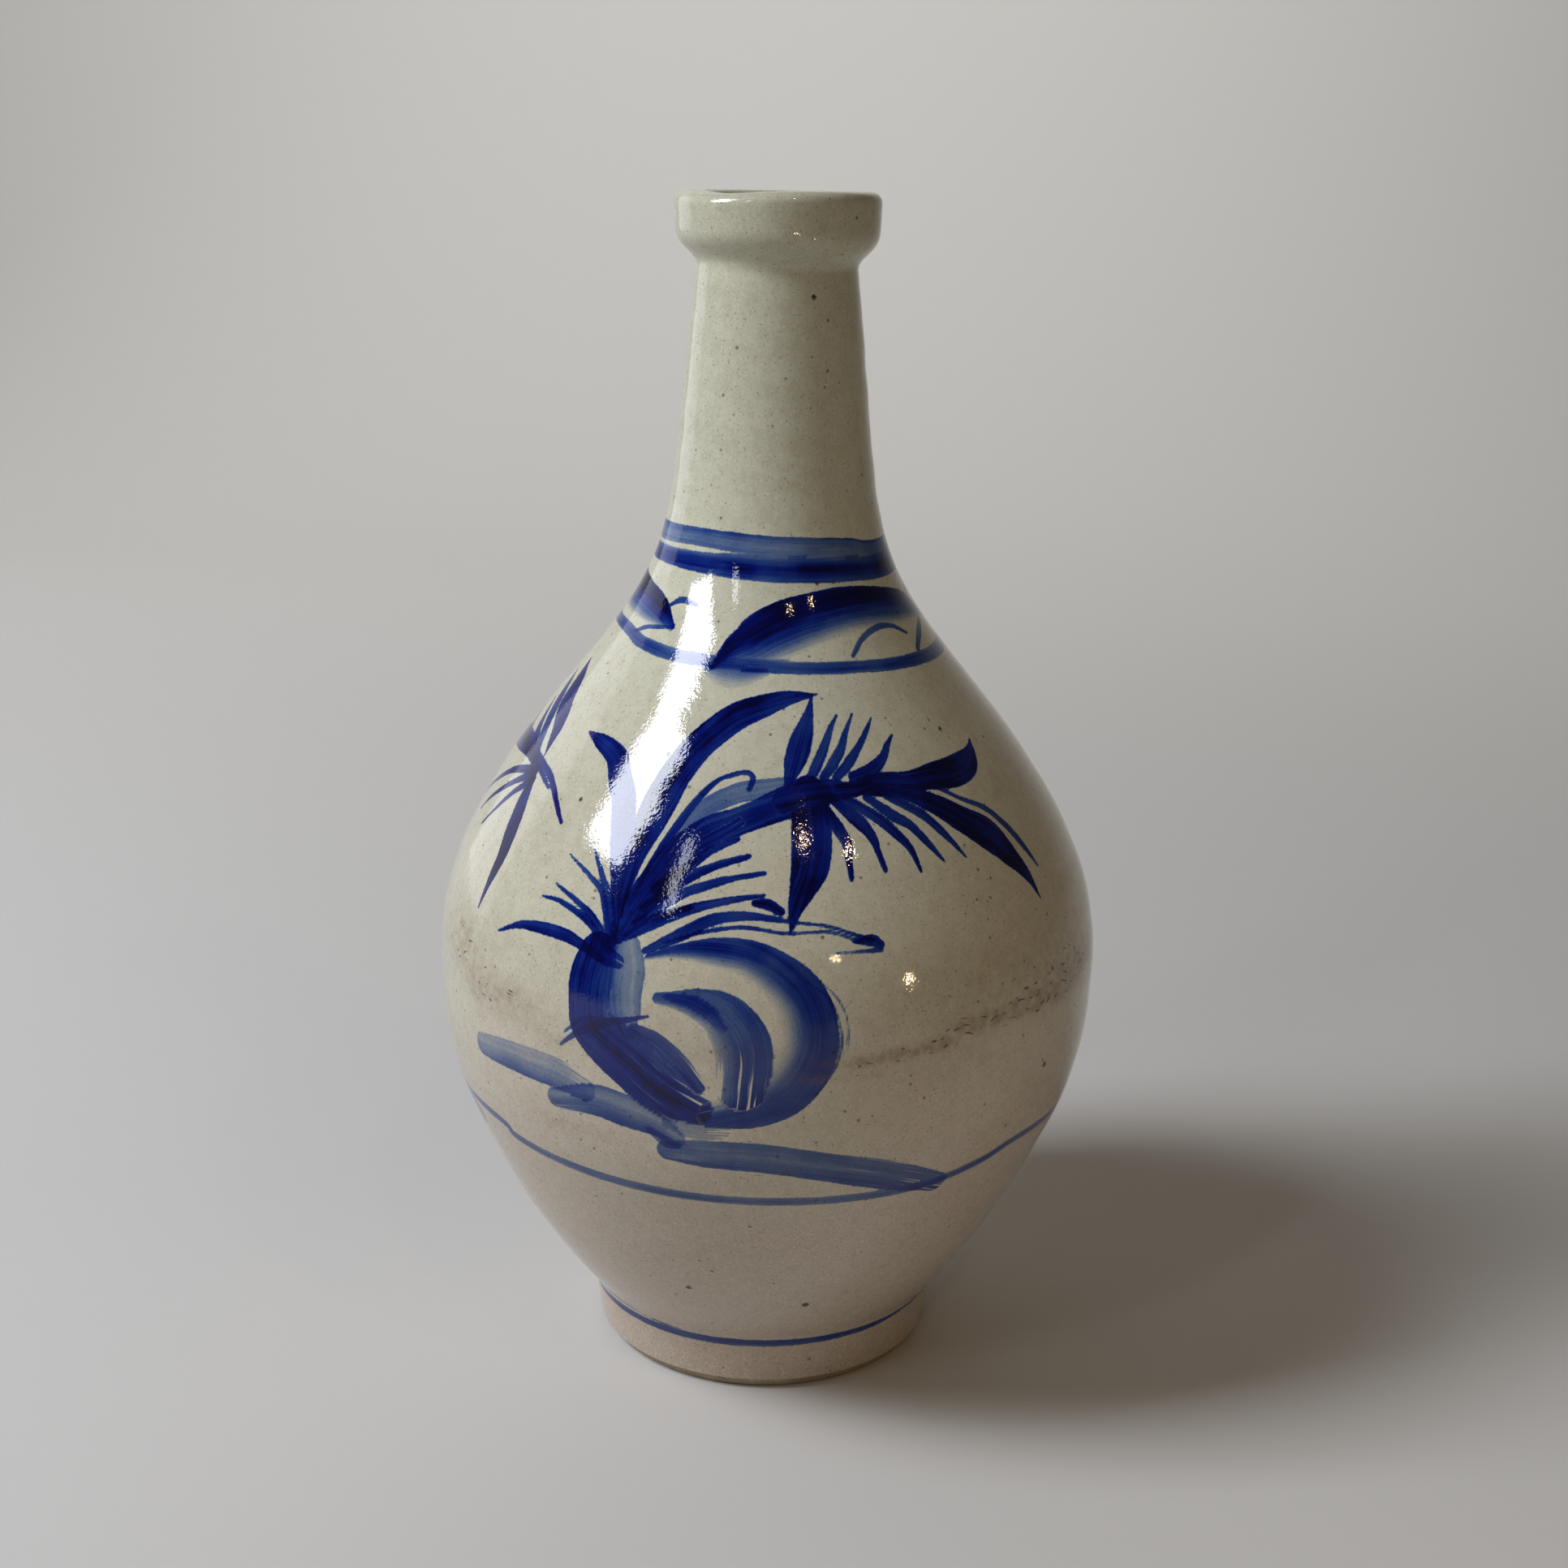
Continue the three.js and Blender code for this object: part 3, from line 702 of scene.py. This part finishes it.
def brushed_cobalt(tree, place):
    """What light comes back through the cobalt: a thin wash, a full brush or a pooled stroke."""
    coat = brush_coat()
    bare = []
    for name in ("wash", "line"):
        stroke = add(tree, "ShaderNodeAttribute", attribute_name=name).outputs["Vector"]
        bristles = add(tree, "ShaderNodeAttribute", attribute_name=name + "_bristles").outputs["Vector"]
        feeds = {"Stroke": stroke, "Bristles": bristles, "Place": place}
        laid = add(tree, "ShaderNodeGroup", feeds, node_tree=coat)
        bare.append(add(tree, "ShaderNodeMath", (1.0, laid), operation="SUBTRACT"))
    uncovered = add(tree, "ShaderNodeMath", bare, operation="MULTIPLY")
    cobalt = add(tree, "ShaderNodeMath", (1.0, uncovered), operation="SUBTRACT", use_clamp=True)
    return add(tree, "ShaderNodeValToRGB", (cobalt,), COBALT_RAMP)


def dirt_and_painted_shade(tree, place):
    """Shares of the brown film, which is settled dirt and, on the right belly, painted shade, and of the
    scratches that have filled with dirt.
    """
    grime_and_shade = add(tree, "ShaderNodeAttribute", attribute_name="grime_and_shade").outputs["Fac"]
    patches = add(tree, "ShaderNodeTexNoise", {"Vector": place, "Scale": 0.42 * PER_MM, "Detail": 4.0})
    patchy = add(tree, "ShaderNodeMapRange", (patches, 0.3, 0.7, 0.0, 1.0), **EASED)
    weaker = add(tree, "ShaderNodeMath", (patchy, 0.6), operation="MULTIPLY")
    raised = add(tree, "ShaderNodeMath", (weaker, 0.4), operation="ADD")
    settled = add(tree, "ShaderNodeMath", (grime_and_shade, raised), operation="MULTIPLY")
    dirt_and_shade_film = add(tree, "ShaderNodeMath", (settled, 0.62), operation="MULTIPLY")

    # the scratches are bent dashes a millimetre or two long, thickest where the grime and painted shade are
    # strongest
    warp = add(tree, "ShaderNodeTexNoise", {"Vector": place, "Scale": 0.07 * PER_MM, "Detail": 1.0})
    swing = (warp.outputs["Color"], (0.012, 0.012, 0.012))
    shift = add(tree, "ShaderNodeVectorMath", swing, operation="MULTIPLY")
    drawn = add(tree, "ShaderNodeVectorMath", (place, shift), operation="ADD")
    worn = add(tree, "ShaderNodeMath", (grime_and_shade, 0.7), operation="MULTIPLY")
    scratch = 0.0
    for lean, along, wide in ((18, 0.26 * PER_MM, 0.95 * PER_MM), (-55, 0.33 * PER_MM, 1.2 * PER_MM)):
        feeds = {"Vector": drawn, "Rotation": (0.0, math.radians(lean), 0.0), "Scale": (along, along, wide)}
        turned = add(tree, "ShaderNodeMapping", feeds)
        cells = add(tree, "ShaderNodeTexVoronoi", {"Vector": turned, "Scale": 1.0})
        chance = add(tree, "ShaderNodeSeparateColor", (cells.outputs["Color"],))
        likely = add(tree, "ShaderNodeMath", (chance, worn), operation="ADD")
        there = add(tree, "ShaderNodeMapRange", (likely, 1.2, 1.26, 0.0, 1.0), **EASED)
        dash = add(tree, "ShaderNodeMapRange", (cells.outputs["Distance"], 0.16, 0.32, 1.0, 0.0), **EASED)
        seen = add(tree, "ShaderNodeMath", (dash, there), operation="MULTIPLY")
        scratch = add(tree, "ShaderNodeMath", (scratch, seen), operation="ADD", use_clamp=True)
    return dirt_and_shade_film, scratch


def glazed_stoneware():
    """Clear feldspathic glaze over grey stoneware: glassy and faintly rippled, with iron specks in it."""
    material, tree = new_material("clear_glaze_over_grey_stoneware")
    place = add(tree, "ShaderNodeTexCoord").outputs["Object"]

    # the body shows through cloudy, in patches about 1.5 mm across, with a fine grain and 0.2 mm freckles
    cloud_feeds = {"Vector": place, "Scale": 0.33 * PER_MM, "Detail": 3.0, "Roughness": 0.6}
    clouds = add(tree, "ShaderNodeTexNoise", cloud_feeds)
    cloudy = add(tree, "ShaderNodeMapRange", (clouds, 0.35, 0.75, 0.0, 0.28), **EASED)
    grain = add(tree, "ShaderNodeTexNoise", {"Vector": place, "Scale": 1.5 * PER_MM, "Detail": 1.0})
    grainy = add(tree, "ShaderNodeMapRange", (grain, 0.45, 0.8, 0.0, 0.4), **EASED)
    freckles = add(tree, "ShaderNodeTexNoise", {"Vector": place, "Scale": 1.9 * PER_MM, "Detail": 1.0})
    freckled = add(tree, "ShaderNodeMapRange", (freckles, 0.64, 0.74, 0.0, 0.55), **EASED)

    # iron that burned through, with an edge as ragged as the grain
    iron = add(tree, "ShaderNodeAttribute", attribute_name="iron").outputs["Fac"]
    ragged = add(tree, "ShaderNodeMath", (grain, 0.5), operation="MULTIPLY")
    spread = add(tree, "ShaderNodeMath", (iron, ragged), operation="ADD")
    burned = add(tree, "ShaderNodeMapRange", (spread, 0.1, 0.55, 0.0, 1.0), **EASED)
    burn = add(tree, "ShaderNodeMath", (burned, 0.92), operation="MULTIPLY")

    # the brown film is settled dirt, and painted shade on the right belly
    dirt_and_shade_film, scratch = dirt_and_painted_shade(tree, place)
    filled = add(tree, "ShaderNodeMath", (scratch, 0.8), operation="MULTIPLY")
    layers = (
        (cloudy, colour("#A0957E"), "MIX"),
        (grainy, colour("#DAD4C0"), "MIX"),
        (iron_specks(tree, place), colour("#4A3826"), "MIX"),
        (freckled, colour("#7A684C"), "MIX"),
        (1.0, brushed_cobalt(tree, place), "MULTIPLY"),
        # brown of the dirt, and of the painted shade on the right belly
        (dirt_and_shade_film, colour("#755A33"), "MIX"),
        (filled, colour("#33261A"), "MIX"),
        (burn, colour("#2A1B12"), "MIX"),
    )
    # the glaze's colour, which carries a painted reflection of the floor lower down
    glaze = glaze_with_painted_reflection(tree, place).outputs[0]
    for share, over, way in layers:
        feeds = {0: share, 6: glaze, 7: over}
        glaze = add(tree, "ShaderNodeMix", feeds, data_type="RGBA", blend_type=way).outputs[2]

    # glassy, and duller under the brown film of dirt and painted shade
    gloss = add(tree, "ShaderNodeTexNoise", {"Vector": place, "Scale": 0.06 * PER_MM, "Detail": 3.0})
    clean = add(tree, "ShaderNodeMapRange", (gloss, 0.3, 0.7, 0.03, 0.07), **EASED)
    dulled = add(tree, "ShaderNodeMath", (dirt_and_shade_film, 0.25), operation="MULTIPLY")
    roughness = add(tree, "ShaderNodeMath", (clean, dulled), operation="ADD")

    # ripple of the melted coat: soft dimples 2 mm across and a finer grain of 0.6 mm
    ripple_feeds = {"Vector": place, "Scale": 0.52 * PER_MM, "Detail": 2.0, "Roughness": 0.5}
    ripple = add(tree, "ShaderNodeTexNoise", ripple_feeds)
    pits = add(tree, "ShaderNodeTexNoise", {"Vector": place, "Scale": 1.7 * PER_MM, "Detail": 1.0})
    pitted = add(tree, "ShaderNodeMath", (pits, 0.6), operation="MULTIPLY")
    melted = add(tree, "ShaderNodeMath", (ripple, pitted), operation="ADD")
    cut = add(tree, "ShaderNodeMath", (scratch, 0.3), operation="MULTIPLY")
    relief = add(tree, "ShaderNodeMath", (melted, cut), operation="SUBTRACT")
    skin = add(tree, "ShaderNodeBump", {"Height": relief, "Strength": 1.0, "Distance": 0.03 * MM})
    glass = {"Base Color": glaze, "Roughness": roughness, "Normal": skin, "IOR": 1.45}
    add(tree, "ShaderNodeOutputMaterial", (add(tree, "ShaderNodeBsdfPrincipled", glass),))
    return material


def bare_stoneware():
    """Unglazed fired clay on the foot: buff, dry and gritty, with dark iron grains."""
    material, tree = new_material("bare_buff_stoneware")
    place = add(tree, "ShaderNodeTexCoord").outputs["Object"]
    clouds = add(tree, "ShaderNodeTexNoise", {"Vector": place, "Scale": 0.09 * PER_MM, "Detail": 4.0})
    clay = add(tree, "ShaderNodeValToRGB", (clouds,), CLAY_RAMP)
    grit = add(tree, "ShaderNodeTexVoronoi", {"Vector": place, "Scale": 0.9 * PER_MM})
    grains = add(tree, "ShaderNodeTexNoise", {"Vector": place, "Scale": 1.2 * PER_MM, "Detail": 2.0})
    dark = add(tree, "ShaderNodeMapRange", (grains, 0.6, 0.72, 0.0, 0.7), **EASED)
    feeds = {0: dark, 6: clay, 7: colour("#4B3A2B")}
    clay = add(tree, "ShaderNodeMix", feeds, data_type="RGBA", blend_type="MIX").outputs[2]
    finer = add(tree, "ShaderNodeMath", (grains, 0.6), operation="MULTIPLY")
    relief = add(tree, "ShaderNodeMath", (grit, finer), operation="ADD")
    skin = add(tree, "ShaderNodeBump", {"Height": relief, "Strength": 0.8, "Distance": 0.1 * MM})
    roughness = add(tree, "ShaderNodeMapRange", (clouds, 0.3, 0.7, 0.78, 0.92), **EASED)
    dry_clay = {"Base Color": clay, "Roughness": roughness, "Normal": skin}
    add(tree, "ShaderNodeOutputMaterial", (add(tree, "ShaderNodeBsdfPrincipled", dry_clay),))
    return material


def pale_paper():
    """Matt off-white paper."""
    material, tree = new_material("pale_paper")
    matt = {"Base Color": colour("#CBC9C4"), "Roughness": 0.9}
    add(tree, "ShaderNodeOutputMaterial", (add(tree, "ShaderNodeBsdfPrincipled", matt),))
    return material


# ---------------------------------------------------------------------------
# The pieces
# ---------------------------------------------------------------------------
angles = columns()
glazed, glazed_points = turn("glazed_pot", glazed_rows, angles, hand_thrown)
# The painted rows run from the glaze's edge on the foot to the top of the neck.
first_row, last_row = [
    int(np.linalg.norm(glazed_rows - end, axis=1).argmin()) for end in (glaze_edge[-1], outside[-1])
]
first = (first_row - 1) * len(angles)
count = (last_row - first_row + 1) * len(angles)
decorate(glazed, glazed_points, first, count)
weather_and_painted_shade(glazed, glazed_points)
glazed.data.materials.append(glazed_stoneware())
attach(glazed, "root")
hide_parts("glaze_coat", "upper_body", "neck", "lip_collar")


def trimmed(angle, radius, height):
    """Rings left by the trimming tool under the floor, and a foot that was never quite round."""
    under = np.clip((32 - radius) / 3, 0, 1) * (height < 7.5) * (height > 6)
    height = height + under * 0.18 * wave(radius, 4.1, angle)
    edge = np.clip((radius - 33) / 2, 0, 1) * np.clip((6 - height) / 3, 0, 1)
    return radius + edge * 0.12 * np.sin(3 * angle + 1), height


# Out along the recess, down and round the ring it stands on, up the bevel to the glaze, and back inside
foot_rows = joined(
    spaced([(0, 7.0), (31.6, 7.0)], 0.8),
    edge_round((31.9, 5.6), 1.4, 90, 15, 5),
    spaced([(33.35, 5.7), (34.3, 0.8)], 0.8),
    edge_round((35.1, 0.7), 0.7, 180, 270, 5),
    spaced([(35.1, 0.0), (37.7, 0.0)], 0.7),
    edge_round((37.7, 0.8), 0.8, -90, -35, 4),
    spaced([(38.45, 0.45), (39.75, 2.55)], 0.5),
    [(39.78, 2.9), (39.7, 8.0), (30, 8.0), (0, 8.0)],
)
bare_foot, _ = turn("bare_foot", foot_rows, np.radians(np.arange(0, 360, 1.5)), trimmed)
bare_foot.data.materials.append(bare_stoneware())
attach(bare_foot, "root")
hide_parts("foot_ring", "lower_body")

# ---------------------------------------------------------------------------
# Stage, light and camera
# ---------------------------------------------------------------------------
MIDDLE = 0.15  # height of the point on the bottle's axis that the lights face, in metres
CAMERA_DISTANCE = 0.4876
CAMERA_HEIGHT = 0.2716
CAMERA_DOWN = 15.57  # degrees
CAMERA_TURN = -0.385
CAMERA_ROLL = 0.913
LENS = 49.55  # millimetres, on a sensor 36 mm wide
SENSOR = 36.0
# The paper lies flat from its front to its back, and curves up behind.
PAPER_FRONT = -2.5
PAPER_BACK = 1.1
PAPER_CURVE = 0.7
PAPER_TOP = 3.0
PAPER_SIDE = 3.0
# small warm lamps: azimuth, elevation and distance of each, as seen_from_bottle takes them
LAMPS = ((18, 48, 1.5), (39, 43, 1.5), (21, 8.5, 0.31), (43, -2.5, 0.31))
LAMP_WIDTH = 0.018  # of its distance, so that each shows as the same small sparkle in the glaze
LAMP_POWER = 0.24  # for a lamp one metre away


def sweep():
    """Pale paper that lies under the bottle and curves up behind it."""
    profile = [(PAPER_FRONT, 0.0), (PAPER_BACK, 0.0)]
    for t in np.radians(np.arange(6, 91, 6)):
        profile.append((PAPER_BACK + PAPER_CURVE * math.sin(t), PAPER_CURVE - PAPER_CURVE * math.cos(t)))
    profile.append((PAPER_BACK + PAPER_CURVE, PAPER_TOP))
    points = [(x, y, z) for y, z in profile for x in (-PAPER_SIDE, PAPER_SIDE)]
    faces = [(2 * k, 2 * k + 1, 2 * k + 3, 2 * k + 2) for k in range(len(profile) - 1)]
    mesh = bpy.data.meshes.new("paper_sweep")
    mesh.from_pydata(points, [], faces)
    mesh.polygons.foreach_set("use_smooth", [True] * len(faces))
    paper = bpy.data.objects.new("paper_sweep", mesh)
    scene.collection.objects.link(paper)
    paper.data.materials.append(pale_paper())


def soft_light(name, place, target, width, height, power, code):
    """A soft panel at one place, facing another, in metres and watts. The camera doesn't see it."""
    lamp = bpy.data.lights.new(name, "AREA")
    lamp.shape, lamp.size, lamp.size_y = "RECTANGLE", width, height
    lamp.energy, lamp.color = power, colour(code)[:3]
    panel = bpy.data.objects.new(name, lamp)
    facing = (Vector(place) - Vector(target)).to_track_quat("Z", "Y").to_matrix().to_4x4()
    panel.matrix_world = Matrix.Translation(place) @ facing
    panel.visible_camera = False
    scene.collection.objects.link(panel)


def seen_from_bottle(azimuth, elevation, distance):
    """A place round the bottle: azimuth 0 is in front and negative to the left, in degrees."""
    a, e = math.radians(azimuth), math.radians(elevation)
    return (
        distance * math.sin(a) * math.cos(e),
        -distance * math.cos(a) * math.cos(e),
        MIDDLE + distance * math.sin(e),
    )


BOTTLE = (0, 0, MIDDLE)
sweep()
soft_light("window", seen_from_bottle(-74, 42, 1.3), BOTTLE, 0.44, 0.58, 17, "#F0F5FF")
soft_light("narrow_window", seen_from_bottle(-38, 37, 1.5), BOTTLE, 0.07, 0.42, 1.0, "#F0F5FF")
soft_light("backdrop_light", (0, 0.9, 1.4), (0, 1.9, 0.8), 1.6, 0.5, 14, "#FFFFFF")
for number, lamp in enumerate(LAMPS, 1):
    width, power = LAMP_WIDTH * lamp[2], LAMP_POWER * lamp[2] ** 2
    soft_light(f"lamp_{number}", seen_from_bottle(*lamp), BOTTLE, width, width, power, "#FFD9A8")
soft_light("edge_light", (-1.2, 0.9, 0.4), BOTTLE, 0.8, 1.2, 3, "#F4F4FF")

# a dim warm room all round
world = bpy.data.worlds.new("room")
world.use_nodes = True
room = world.node_tree.nodes["Background"]
room.inputs["Color"].default_value = colour("#F8E8D4")
room.inputs["Strength"].default_value = 0.06
scene.world = world

lens = bpy.data.cameras.new("camera")
lens.sensor_width = SENSOR
lens.lens = LENS
lens.clip_start = 0.01
camera = bpy.data.objects.new("camera", lens)
stand = Matrix.Translation((0, -CAMERA_DISTANCE, CAMERA_HEIGHT))
turned = Matrix.Rotation(math.radians(CAMERA_TURN), 4, "Z")
tilted = Matrix.Rotation(math.radians(90 - CAMERA_DOWN), 4, "X")
camera.matrix_world = stand @ turned @ tilted @ Matrix.Rotation(math.radians(CAMERA_ROLL), 4, "Z")
scene.collection.objects.link(camera)
scene.camera = camera
scene.view_settings.view_transform = "Standard"
